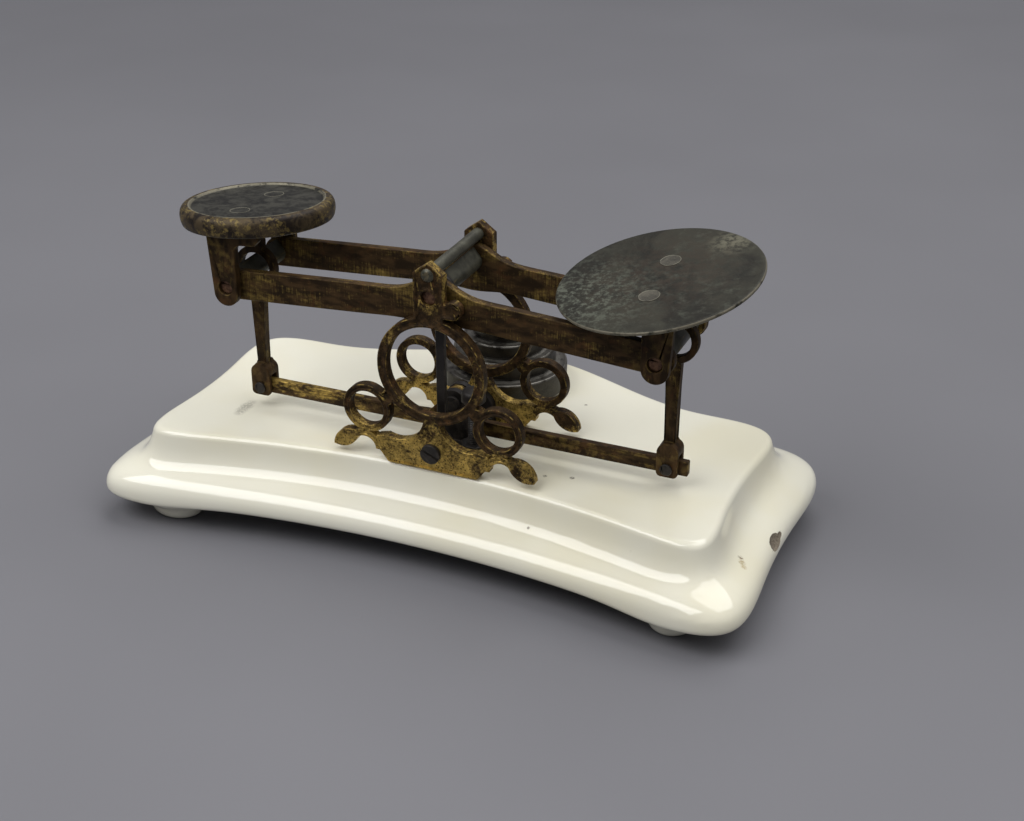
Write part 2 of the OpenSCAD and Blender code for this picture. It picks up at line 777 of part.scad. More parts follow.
// Check link: a flat bar with a raised lug, so that its three pins match the beam's three knives
module check_link() color(bronze) on_mech() {
    lug_r = pivot_pin_r + 2.8;
    left = arm + fork_w / 2 - 0.8;
    difference() {
        plate(-link_t / 2, link_t) {
            translate([-left, link_up - link_h / 2]) square([left + arm + link_tail, link_h]);
            polygon([[-lug_r - 6, link_up], [lug_r + 6, link_up], [lug_r + 6, link_up + link_h / 2],
                [lug_r, pivot_up], [-lug_r, pivot_up], [-lug_r - 6, link_up + link_h / 2]]);
            translate([0, pivot_up]) circle(lug_r);
        }
        bar_y(-link_t, link_t, 0, pivot_up, pivot_pin_r + turn_clear);
        for (s = [-1, 1]) bar_y(-link_t, link_t, s * arm, link_up, link_pin_r + turn_clear);
    }
}

// Weights: turned discs with eased edges, stacked from the widest up

function stack_up(i) = i == 0 ? 0 : stack_up(i - 1) + weight_h[i - 1];

module weight(i) {
    r = weight_r[i];
    h = weight_h[i];
    ease = 0.7;
    translate([stack_x, stack_y, deck + stack_up(i)]) rotate_extrude() polygon(concat(
        [[0, 0]],
        arc(r - ease, ease, ease, -90, 0, 4),
        arc(r - ease, h - ease, ease, 0, 90, 4),
        [[0, h]]
    ));
}

module weight_a() color(pewter) weight(0);

module weight_b() color(pewter) weight(1);

module weight_c() color(pewter) weight(2);

module weight_d() color(pewter) weight(3);

base();
front_frame();
rear_frame();
bridge();
front_frame_screw();
rear_frame_screw();
stud();
stud_nut();
under_nut();
tie_rod();
link_pivot_pin();
front_side_bar();
rear_side_bar();
fulcrum_bar();
left_end_bar();
right_end_bar();
pointer();
left_carrier();
left_pan();
left_pan_rivets();
left_link_pin();
right_carrier();
right_pan();
right_pan_rivets();
right_link_pin();
check_link();
weight_a();
weight_b();
weight_c();
weight_d();
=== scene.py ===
"""Finish for a letter scale on a glazed base: edges, wear, threads, a chip, patina, stage and camera."""

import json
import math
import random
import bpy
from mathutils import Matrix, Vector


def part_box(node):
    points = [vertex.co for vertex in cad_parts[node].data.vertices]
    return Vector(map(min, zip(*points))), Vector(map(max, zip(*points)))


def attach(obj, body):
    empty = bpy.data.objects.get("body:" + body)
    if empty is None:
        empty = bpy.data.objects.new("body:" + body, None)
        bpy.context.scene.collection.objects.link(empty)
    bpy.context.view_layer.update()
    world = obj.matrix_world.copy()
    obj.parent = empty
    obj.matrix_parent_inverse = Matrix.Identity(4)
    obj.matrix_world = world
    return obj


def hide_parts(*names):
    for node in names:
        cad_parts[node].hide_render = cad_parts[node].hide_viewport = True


bl_info = {
    "name": "Letter Scale Finish",
    "version": (1, 0, 0),
    "blender": (4, 5, 0),
    "location": "3D View > Sidebar > Letter Scale",
    "description": "Dresses the letter scale: glazed base, worn gilt movement, tarnished pans and weights",
    "category": "Object",
}

import bmesh
import bpy
from bpy.props import FloatProperty, FloatVectorProperty, PointerProperty
from mathutils import Matrix, Vector
from mathutils.bvhtree import BVHTree

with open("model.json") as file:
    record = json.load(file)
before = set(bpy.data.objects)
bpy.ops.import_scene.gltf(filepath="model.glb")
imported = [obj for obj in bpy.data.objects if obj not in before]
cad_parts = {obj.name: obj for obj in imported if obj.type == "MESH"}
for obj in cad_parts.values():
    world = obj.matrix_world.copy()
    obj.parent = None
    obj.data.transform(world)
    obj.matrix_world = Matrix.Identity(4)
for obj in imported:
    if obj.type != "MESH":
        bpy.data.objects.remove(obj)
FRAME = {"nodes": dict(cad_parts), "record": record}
NODES = FRAME["nodes"]
MOUNTS = {mount["name"]: mount for mount in FRAME["record"]["mounts"]}
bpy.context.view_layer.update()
MM = 0.001
MERGE = 2e-6  # points closer than this are one
TOUCH = 1e-5  # points this near to a plane lie in it

# The base, in metres
BASE_WALL = 0.006
STUD_HOLE = 0.0024
FOOT_X = 0.090
FRONT_FOOT_Y = -0.0545

# The camera, fitted to the photograph, in metres, degrees and millimetres
CAMERA_PLACE = (0.2169, -0.4754, 0.3036)
CAMERA_DOWN = 27.423
CAMERA_ROUND = 23.153
CAMERA_LENS = 59.70

# Name, place, aim and size in metres, power in watts, and whether reflections show it
LAMPS = (
    ("ceiling_lamp", (0.30, 0.75, 1.90), (0, 0, 0.03), (2.2, 1.6), 29.5, True),
    ("window_lamp", (-0.42, -0.56, 0.95), (0, 0, 0.03), (1.0, 0.62), 8.6, True),
    ("fill_lamp", (0.85, -0.30, 1.05), (0.05, 0, 0.03), (0.9, 0.9), 4.5, False),
)


def length(name, text, default):
    return FloatProperty(name=name, description=text, default=default, min=0, unit="LENGTH", precision=5)


def colour(name, text, default):
    return FloatVectorProperty(
        name=name, description=text, default=default, size=3, min=0, max=1, subtype="COLOR",
    )


class LetterScaleSizes(bpy.types.PropertyGroup):
    casting_edge: length("Casting edge", "Rounding of the cast frames' edges", 0.00035)
    casting_border: length("Casting border", "Width of the raised line round each frame's front", 0.0005)
    bar_edge: length("Bar edge", "Rounding of the beam's and the link's edges", 0.0004)
    fixing_edge: length("Fixing edge", "Rounding of screws, nuts and pins", 0.00025)
    knife_recess: length("Knife recess", "How far the knife ends lie inside their eyes", 0.0014)
    thread_pitch: length("Thread pitch", "Distance between the stud's threads", 0.0008)
    thread_depth: length("Thread depth", "Depth of the stud's threads", 0.0003)
    lip_dip: length("Lip dip", "How far the base's lip dips above its feet", 0.0024)
    foot_tuck: length("Foot tuck", "How far the front feet curl back under the base", 0.0026)


class LetterScaleColours(bpy.types.PropertyGroup):
    glaze: colour("Glaze", "Cream-white glaze of the base", (0.85, 0.82, 0.69))
    gilt: colour("Gilt", "Gilt lacquer where it still holds", (0.56, 0.385, 0.105))
    brown: colour("Brown", "Browned lacquer and dirt on the castings", (0.044, 0.025, 0.010))
    steel: colour("Steel", "Worn steel of knives and rods", (0.070, 0.068, 0.050))
    black: colour("Blackened steel", "Screws, stud and pointer", (0.020, 0.017, 0.015))
    patina: colour("Patina", "Dull green-grey film on the letter pan", (0.029, 0.0275, 0.0195))
    weights: colour("Weights", "Tarnish of the disc weights", (0.045, 0.040, 0.032))
    floor: colour("Floor", "Blue-grey table top", (0.165, 0.163, 0.177))


# Meshes


def activate(piece):
    for other in bpy.context.selected_objects:
        other.select_set(False)
    piece.select_set(True)
    bpy.context.view_layer.objects.active = piece


def edit(piece, *steps):
    """Runs mesh operators on the whole piece in edit mode."""
    activate(piece)
    bpy.ops.object.mode_set(mode="EDIT")
    bpy.ops.mesh.select_all(action="SELECT")
    for step, options in steps:
        step(**options)
    bpy.ops.object.mode_set(mode="OBJECT")


def edit_faces(piece, wanted, *steps):
    """Runs mesh operators on the faces that the test picks."""
    activate(piece)
    bpy.ops.object.mode_set(mode="EDIT")
    bpy.ops.mesh.select_mode(type="FACE")
    bpy.ops.mesh.select_all(action="DESELECT")
    bpy.ops.object.mode_set(mode="OBJECT")
    for face in piece.data.polygons:
        face.select = wanted(face)
    bpy.ops.object.mode_set(mode="EDIT")
    for step, options in steps:
        step(**options)
    bpy.ops.object.mode_set(mode="OBJECT")


def copy_of(node, name):
    """A copy of a CAD node's mesh with its doubled points merged and without its materials."""
    mesh = NODES[node].data.copy()
    mesh.materials.clear()
    piece = bpy.data.objects.new(name, mesh)
    bpy.context.scene.collection.objects.link(piece)
    activate(piece)
    bpy.ops.mesh.customdata_custom_splitnormals_clear()
    edit(piece, (bpy.ops.mesh.remove_doubles, {"threshold": MERGE}))
    return piece


def modify(piece, kind, **settings):
    """Adds a modifier and applies it."""
    activate(piece)
    modifier = piece.modifiers.new(kind.title(), kind)
    for key, value in settings.items():
        setattr(modifier, key, value)
    bpy.ops.object.modifier_apply(modifier=modifier.name)


def mark_wear(piece, angle=22):
    """Stores 1 in the attribute "wear" along sharp edges, where the finish rubs off."""
    work = bmesh.new()
    work.from_mesh(piece.data)
    layer = work.verts.layers.float.get("wear") or work.verts.layers.float.new("wear")
    limit = math.radians(angle)
    for edge in work.edges:
        if len(edge.link_faces) == 2 and edge.calc_face_angle() > limit:
            for vertex in edge.verts:
                vertex[layer] = 1.0
    work.to_mesh(piece.data)
    work.free()


def smooth(piece, angle=35):
    activate(piece)
    bpy.ops.object.shade_smooth_by_angle(angle=math.radians(angle))


def round_edges(piece, width, angle=38, segments=3):
    """Rounds the sharp edges; a corner that the rounding throws off the surface goes back to it."""
    before = BVHTree.FromPolygons(
        [vertex.co.copy() for vertex in piece.data.vertices],
        [tuple(face.vertices) for face in piece.data.polygons],
    )
    stray = width * 0.8
    modify(
        piece, "BEVEL", width=width, segments=segments, limit_method="ANGLE",
        angle_limit=math.radians(angle), use_clamp_overlap=False, miter_outer="MITER_ARC",
    )
    for vertex in piece.data.vertices:
        place, _, _, away = before.find_nearest(vertex.co)
        if away > stray:
            vertex.co = place
    mark_wear(piece)
    smooth(piece)
    modify(piece, "WEIGHTED_NORMAL", keep_sharp=True, weight=80)


def lathe(name, profile, centre=(0, 0, 0), steps=96):
    """A turned piece: profile is (radius, height) in millimetres from the axis up and back to it."""
    mesh = bpy.data.meshes.new(name)
    x, y, z = centre
    points = [(x + r * MM, y, z + h * MM) for r, h in profile]
    mesh.from_pydata(points, [(i, i + 1) for i in range(len(points) - 1)], [])
    piece = bpy.data.objects.new(name, mesh)
    bpy.context.scene.collection.objects.link(piece)
    edit(
        piece,
        (bpy.ops.mesh.spin, {"steps": steps, "angle": math.tau, "center": (x, y, 0), "axis": (0, 0, 1)}),
        (bpy.ops.mesh.select_all, {"action": "SELECT"}),
        (bpy.ops.mesh.remove_doubles, {"threshold": MERGE}),
        (bpy.ops.mesh.normals_make_consistent, {"inside": False}),
    )
    return piece


def join(piece, *others):
    activate(piece)
    for other in others:
        other.select_set(True)
    bpy.ops.object.join()
    return piece


def curve_of(*points, steps=6):
    """Points of a Bezier curve through four profile points, without the first."""
    p, q, r, s = (Vector(point) for point in points)
    found = []
    for i in range(1, steps + 1):
        t = i / steps
        u = 1 - t
        at = u**3 * p + 3 * u * u * t * q + 3 * u * t * t * r + t**3 * s
        found.append((at.x, at.y))
    return found


def seat(mount):
    """The leaning plane of a pan's face, as a matrix."""
    axis = Vector(MOUNTS[mount]["axis"])
    to_side = Matrix.Rotation(math.atan2(axis.x, axis.z), 4, "Y")
    to_front = Matrix.Rotation(math.asin(-axis.y), 4, "X")
    return Matrix.Translation(MOUNTS[mount]["pos_m"]) @ to_side @ to_front


def fit(piece, node, body, material):
    """Gives the piece its material and its body, and hides the CAD node that it stands for."""
    piece.data.materials.clear()
    piece.data.materials.append(material)
    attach(piece, body)
    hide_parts(node)


# Materials


def shade(rgb, factor):
    return tuple(c * factor for c in rgb)


class Finish:
    """A material's node tree, built in a few words."""

    def __init__(self, name):
        self.material = bpy.data.materials.new(name)
        self.material.use_nodes = True
        self.tree = self.material.node_tree
        self.shader = self.tree.nodes["Principled BSDF"]
        self.place = self.add("ShaderNodeTexCoord").outputs["Object"]

    def add(self, kind, **settings):
        node = self.tree.nodes.new(kind)
        for key, value in settings.items():
            setattr(node, key, value)
        return node

    def put(self, socket, value):
        """Links another node's output, or sets a constant."""
        if isinstance(value, bpy.types.NodeSocket):
            self.tree.links.new(value, socket)
        elif socket.type == "RGBA" and len(value) == 3:
            socket.default_value = (*value, 1)
        else:
            socket.default_value = value

    def set(self, **values):
        """Sets the shader's inputs, with _ for each space in a name."""
        for key, value in values.items():
            self.put(self.shader.inputs[key.replace("_", " ")], value)

    def stretched(self, scale, turn=(0, 0, 0), move=(0, 0, 0)):
        node = self.add("ShaderNodeMapping")
        self.put(node.inputs["Vector"], self.place)
        self.put(node.inputs["Location"], move)
        self.put(node.inputs["Rotation"], [math.radians(a) for a in turn])
        self.put(node.inputs["Scale"], scale)
        return node.outputs["Vector"]

    def noise(self, scale, detail=4, rough=0.6, where=None, distortion=0):
        node = self.add("ShaderNodeTexNoise")
        self.put(node.inputs["Vector"], where or self.place)
        keys = ("Scale", "Detail", "Roughness", "Distortion")
        for key, value in zip(keys, (scale, detail, rough, distortion)):
            self.put(node.inputs[key], float(value))
        return node.outputs["Fac"]

    def cells(self, scale, where=None, output="Distance"):
        node = self.add("ShaderNodeTexVoronoi")
        self.put(node.inputs["Vector"], where or self.place)
        self.put(node.inputs["Scale"], float(scale))
        return node.outputs[output]

    def red(self, value):
        node = self.add("ShaderNodeSeparateColor")
        self.put(node.inputs[0], value)
        return node.outputs[0]

    def axis(self, name):
        node = self.add("ShaderNodeSeparateXYZ")
        self.put(node.inputs[0], self.place)
        return node.outputs[name]

    def math(self, kind, a, b=0.0):
        node = self.add("ShaderNodeMath", operation=kind)
        self.put(node.inputs[0], a)
        self.put(node.inputs[1], b)
        return node.outputs[0]

    def times(self, *values):
        result = values[0]
        for value in values[1:]:
            result = self.math("MULTIPLY", result, value)
        return result

    def span(self, value, low, high, out_low=0.0, out_high=1.0):
        """Runs smoothly from out_low at low to out_high at high."""
        node = self.add("ShaderNodeMapRange", interpolation_type="SMOOTHSTEP")
        keys = ("Value", "From Min", "From Max", "To Min", "To Max")
        for key, one in zip(keys, (value, low, high, out_low, out_high)):
            self.put(node.inputs[key], one)
        return node.outputs["Result"]

    def mix(self, part, a, b):
        node = self.add("ShaderNodeMix", data_type="RGBA")
        for socket, value in zip((node.inputs[0], node.inputs[6], node.inputs[7]), (part, a, b)):
            self.put(socket, value)
        return node.outputs[2]

    def bump(self, height, strength, distance, under=None):
        node = self.add("ShaderNodeBump")
        self.put(node.inputs["Height"], height)
        self.put(node.inputs["Strength"], strength)
        self.put(node.inputs["Distance"], distance)
        if under is not None:
            self.put(node.inputs["Normal"], under)
        return node.outputs["Normal"]

    def attribute(self, name):
        return self.add("ShaderNodeAttribute", attribute_name=name).outputs["Fac"]

    def near(self, point, radius, soft=0.35):
        """1 within radius of a point, fading to 0."""
        node = self.add("ShaderNodeVectorMath", operation="DISTANCE")
        self.put(node.inputs[0], self.place)
        self.put(node.inputs[1], point)
        return self.span(node.outputs["Value"], radius * (1 - soft), radius * (1 + soft), 1.0, 0.0)


# Marks in the glaze, in metres: centre, radius, tone and strength
MARKS = (
    ((0.0386, -0.0314, 0.0315), 0.0006, (0.06, 0.045, 0.03), 0.95),
    ((0.0472, -0.0291, 0.0315), 0.0007, (0.06, 0.045, 0.03), 0.95),
    ((0.0329, 0.0208, 0.0315), 0.0005, (0.10, 0.07, 0.04), 0.9),
    ((-0.0757, -0.0320, 0.0315), 0.0016, (0.40, 0.37, 0.30), 0.45),
    ((-0.0759, -0.0295, 0.0315), 0.0020, (0.32, 0.30, 0.24), 0.55),
    ((-0.0759, -0.0265, 0.0315), 0.0020, (0.30, 0.28, 0.22), 0.65),
    ((-0.0758, -0.0235, 0.0315), 0.0016, (0.40, 0.37, 0.30), 0.45),
    ((0.1062, -0.0356, 0.0197), 0.0008, (0.16, 0.10, 0.04), 0.9),
    ((0.1072, -0.0375, 0.0192), 0.0011, (0.42, 0.31, 0.14), 0.8),
    ((0.1083, -0.0392, 0.0187), 0.0009, (0.50, 0.38, 0.18), 0.7),
    ((0.0760, -0.0520, 0.0240), 0.0006, (0.25, 0.19, 0.12), 0.6),
    ((-0.0330, 0.0040, 0.0315), 0.0006, (0.22, 0.17, 0.10), 0.7),
)


def glaze_finish(colours):
    f = Finish("cream_glaze")
    pale = tuple(colours.glaze)
    warm = (pale[0] * 0.97, pale[1] * 0.95, pale[2] * 0.88)
    base = f.mix(f.span(f.noise(22, 3, 0.5), 0.40, 0.72), pale, warm)
    pick = f.math("GREATER_THAN", f.red(f.cells(150, output="Color")), 0.965)
    pit = f.times(f.span(f.cells(150), 0.04, 0.09, 1.0, 0.0), pick)
    base = f.mix(f.times(pit, 0.7), base, (0.12, 0.09, 0.06))
    for point, radius, tone, amount in MARKS:
        broken = f.times(f.near(point, radius, 0.6), f.span(f.noise(1500, 4, 0.7), 0.36, 0.52), amount)
        base = f.mix(broken, base, tone)
    waves = f.bump(f.noise(30, 2, 0.4), 0.08, 0.003)
    f.set(
        Base_Color=base, Roughness=f.span(f.noise(60, 4), 0.3, 0.8, 0.06, 0.12),
        Normal=f.bump(f.math("SUBTRACT", 1.0, pit), 0.5, 0.0003, waves), IOR=1.5,
        Coat_Weight=0.3, Coat_Roughness=0.04,
    )
    return f.material


def bare_finish():
    """Grey-brown ceramic, bare in a chip."""
    f = Finish("bare_ceramic")
    tone = f.mix(f.span(f.noise(1300, 5, 0.7), 0.35, 0.65), (0.25, 0.21, 0.155), (0.13, 0.105, 0.078))
    f.set(Base_Color=tone, Roughness=0.85, Normal=f.bump(f.noise(2400, 4), 0.5, 0.0004))
    return f.material


def brass_finish(
    name, gilt, brown, cover,
    streak=(1, 1, 1), stipple=0.0, gold_low=0.0, rub=0.3, lines=0.0, soft=0.15, fade=None,
):
    """Gilt lacquer over brass: cover is how much of it has browned, from 0 to 1.

    gold_low is a height below which more gilt is left, lines adds upright scratches, soft widens the
    step from brown to gilt, and fade is (from X, to X, loss) for a side with less gilt.
    """
    f = Finish(name)
    where = f.stretched(streak)
    broad = f.noise(120, 5, 0.62, where, 0.4)
    fine = f.noise(1000, 4, 0.7, where)
    both = f.math("ADD", f.times(broad, 0.66), f.times(fine, 0.34))
    if gold_low:
        low = f.span(f.axis("Z"), gold_low, gold_low + 0.012, 1.0, 0.0)
        both = f.math("ADD", both, f.times(low, 0.18))
    if lines:
        upright = f.noise(2400, 3, 0.6, f.stretched((1, 1, 0.06)))
        both = f.math("ADD", both, f.times(f.math("SUBTRACT", upright, 0.5), lines))
    if fade:
        near, far, loss = fade
        both = f.math("SUBTRACT", both, f.times(f.span(f.axis("X"), near, far), loss))
    edge = 0.30 + 0.40 * cover
    gold = f.span(both, edge, edge + soft)
    tone = f.mix(f.span(f.noise(420, 3, 0.5, where), 0.35, 0.68), shade(brown, 0.45), shade(brown, 1.5))
    rusty = f.span(f.noise(210, 4, 0.6), 0.54, 0.72)
    tone = f.mix(f.times(rusty, 0.45), tone, (0.105, 0.045, 0.016))
    bright = f.mix(f.span(f.noise(700, 3), 0.3, 0.7), shade(gilt, 0.55), shade(gilt, 1.15))
    tone = f.mix(gold, tone, bright)
    rubbed = f.times(f.attribute("wear"), f.span(f.noise(260, 4, 0.65), 0.46, 0.62))
    tone = f.mix(f.times(rubbed, rub), tone, shade(gilt, 0.7))
    normal = f.bump(f.math("ADD", f.noise(900, 4, 0.6), f.times(gold, 0.3)), 0.25, 0.0003)
    if stipple:
        specks = f.span(f.cells(1250, f.stretched((1, 1, 1), (12, 30, 25))), 0.22, 0.40, 1.0, 0.0)
        specks = f.times(specks, f.span(f.noise(420, 4, 0.7), 0.36, 0.50))
        normal = f.bump(f.math("SUBTRACT", 1.0, specks), stipple, 0.0004, normal)
        tone = f.mix(f.times(specks, 0.8), tone, shade(brown, 0.5))
    f.set(
        Base_Color=tone, Metallic=f.span(gold, 0, 1, 0.2, 0.75), Specular_IOR_Level=0.15,
        Roughness=f.span(gold, 0, 1, 0.58, 0.38), Normal=normal,
    )
    return f.material


def dull_finish(name, base, dark, light, metal=0.6, rough=(0.42, 0.62), rim=None, rim_low=0.36):
    """Tarnished metal: mottled between a dark and a light shade of its base colour."""
    f = Finish(name)
    broad = f.noise(150, 6, 0.62, None, 0.5)
    fine = f.noise(1500, 4, 0.65)
    tone = f.mix(f.span(broad, 0.32, 0.70), shade(base, dark), shade(base, light))
    tone = f.mix(f.times(f.span(fine, 0.50, 0.72), 0.45), tone, shade(base, light * 1.5))
    if rim:
        rubbed = f.times(f.attribute("wear"), f.span(f.noise(230, 4), rim_low, rim_low + 0.18))
        tone = f.mix(f.times(rubbed, 0.85), tone, rim)
    f.set(
        Base_Color=tone, Metallic=metal, Roughness=f.span(broad, 0.3, 0.7, *rough),
        Normal=f.bump(f.math("ADD", broad, fine), 0.18, 0.0003),
    )
    return f.material


def knife_finish(steel):
    """Steel bar whose ends, inside their eyes, are browned with rust."""
    f = Finish("knife_steel")
    broad = f.noise(240, 6, 0.62, None, 0.5)
    tone = f.mix(f.span(broad, 0.32, 0.70), shade(steel, 0.6), shade(steel, 1.35))
    streak = f.span(f.noise(330, 4, 0.6, f.stretched((1, 0.12, 1))), 0.60, 0.70)
    tone = f.mix(f.times(streak, 0.6), tone, (0.26, 0.19, 0.07))
    rust = f.mix(f.span(f.noise(900, 4), 0.35, 0.65), (0.06, 0.026, 0.012), (0.17, 0.088, 0.046))
    tone = f.mix(f.attribute("end"), tone, rust)
    f.set(
        Base_Color=tone, Metallic=0.45, Roughness=f.span(broad, 0.3, 0.7, 0.36, 0.54),
        Normal=f.bump(broad, 0.15, 0.0003),
    )
    return f.material


def small_pan_finish():
    """Dark face inside a bright bead, on a browned skirt with the last of its gilt."""
    f = Finish("small_pan_tarnish")
    broad = f.noise(210, 7, 0.70, None, 0.5)
    face = f.mix(f.span(broad, 0.38, 0.62), (0.012, 0.0115, 0.009), (0.052, 0.050, 0.041))
    face = f.mix(f.times(f.span(f.noise(900, 4), 0.52, 0.70), 0.4), face, (0.070, 0.066, 0.052))
    browned = f.span(f.noise(210, 5, 0.65, None, 0.4), 0.40, 0.60)
    skirt = f.mix(browned, (0.016, 0.011, 0.008), (0.078, 0.056, 0.030))
    gold = f.times(f.span(f.noise(620, 5, 0.75), 0.50, 0.60), f.span(f.noise(60, 2), 0.42, 0.56))
    skirt = f.mix(f.times(gold, 0.75), skirt, (0.24, 0.175, 0.055))
    tone = f.mix(f.attribute("skirt"), face, skirt)
    bead = f.times(f.attribute("wear"), f.span(f.noise(190, 4, 0.7), 0.36, 0.50))
    tone = f.mix(f.times(bead, 0.9), tone, (0.22, 0.20, 0.145))
    f.set(
        Base_Color=tone, Metallic=0.4, Specular_IOR_Level=0.3, Roughness=f.span(broad, 0.3, 0.7, 0.40, 0.60),
        Normal=f.bump(f.math("ADD", broad, f.noise(1200, 4)), 0.2, 0.0003),
    )
    return f.material


def letter_pan_finish(base):
    """Letter pan: green-grey film with pale blooms, darker and browner towards the middle."""
    f = Finish("letter_pan_patina")
    broad = f.noise(55, 7, 0.68, None, 0.8)
    tone = f.mix(f.span(broad, 0.36, 0.64), shade(base, 0.55), shade(base, 1.25))
    cloud = f.times(f.span(f.noise(230, 6, 0.74), 0.48, 0.68), f.span(f.noise(34, 3), 0.38, 0.60))
    tone = f.mix(f.times(cloud, 0.55), tone, (0.085, 0.090, 0.068))
    bloom = f.times(f.near((0.0875, 0.0005, 0.1087), 0.006, 0.8), f.span(f.noise(420, 5, 0.7), 0.38, 0.58))
    tone = f.mix(f.times(bloom, 0.8), tone, (0.18, 0.17, 0.12))
    middle = f.times(f.near((0.071, -0.020, 0.103), 0.020, 0.8), f.span(f.noise(260, 5, 0.7), 0.40, 0.60))
    tone = f.mix(f.times(middle, 0.6), tone, (0.046, 0.032, 0.021))
    green = f.times(f.near((0.047, -0.036, 0.098), 0.020, 0.8), f.span(f.noise(480, 6, 0.76), 0.47, 0.60))
    tone = f.mix(f.times(green, 0.75), tone, (0.135, 0.145, 0.112))
    scratch = f.span(f.noise(300, 3, 0.6, f.stretched((1, 9, 1), (0, 0, 34))), 0.66, 0.76)
    tone = f.mix(f.times(scratch, 0.25), tone, (0.12, 0.108, 0.082))
    brown = f.span(f.noise(85, 4, 0.6, f.stretched((1, 1, 1), move=(0.3, 0, 0))), 0.55, 0.75)
    tone = f.mix(f.times(brown, 0.5), tone, (0.040, 0.030, 0.021))
    rubbed = f.times(f.attribute("wear"), f.span(f.noise(200, 4), 0.38, 0.56))
    tone = f.mix(f.times(rubbed, 0.7), tone, (0.23, 0.205, 0.15))
    f.set(
        Base_Color=tone, Metallic=0.35, Specular_IOR_Level=0.3, Roughness=f.span(broad, 0.3, 0.7, 0.42, 0.58),
        Normal=f.bump(f.math("ADD", broad, f.noise(1300, 4)), 0.16, 0.0003),
    )
    return f.material


def finishes():
    """All finishes by name, made once."""
    if not hasattr(finishes, "made"):
        c = bpy.context.scene.letter_scale_colours
        gilt, brown = tuple(c.gilt), tuple(c.brown)
        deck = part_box("base")[1].z
        finishes.made = {
            "glaze": glaze_finish(c),
            "bare": bare_finish(),
            "casting": brass_finish(
                "gilt_casting", gilt, brown, 0.60,
                stipple=0.4, gold_low=deck + 0.006, rub=0.75, fade=(0.018, 0.036, 0.10),
            ),
            "bar": brass_finish(
                "browned_bar", shade(gilt, 0.6), brown, 0.45, streak=(0.35, 1, 1), lines=0.35, soft=0.24,
            ),
            "carrier": brass_finish("browned_carrier", shade(gilt, 0.7), brown, 0.64, streak=(1, 1, 0.35)),
            "link": brass_finish(
                "worn_link", gilt, brown, 0.46, streak=(0.5, 1, 1), fade=(-0.005, 0.03, 0.12),
            ),
            "small_pan": small_pan_finish(),
            "letter_pan": letter_pan_finish(tuple(c.patina)),
            "rivet": dull_finish(
                "rivet_ring", (0.066, 0.060, 0.046), 0.6, 1.5, 0.4, rim=(0.17, 0.16, 0.12), rim_low=0.34,
            ),
            "knife": knife_finish(tuple(c.steel)),
            "steel": dull_finish(
                "worn_steel", tuple(c.steel), 0.65, 1.3, 0.45, (0.34, 0.52), (0.17, 0.14, 0.08),
            ),
            "black": dull_finish(
                "blackened_steel", tuple(c.black), 0.6, 1.5, 0.4, (0.42, 0.6), (0.075, 0.062, 0.05), 0.44,
            ),
            "weight": dull_finish(
                "tarnished_weight", tuple(c.weights), 0.5, 1.2, 0.6, (0.28, 0.46), (0.17, 0.16, 0.14),
            ),
        }
    return finishes.made


# Operators


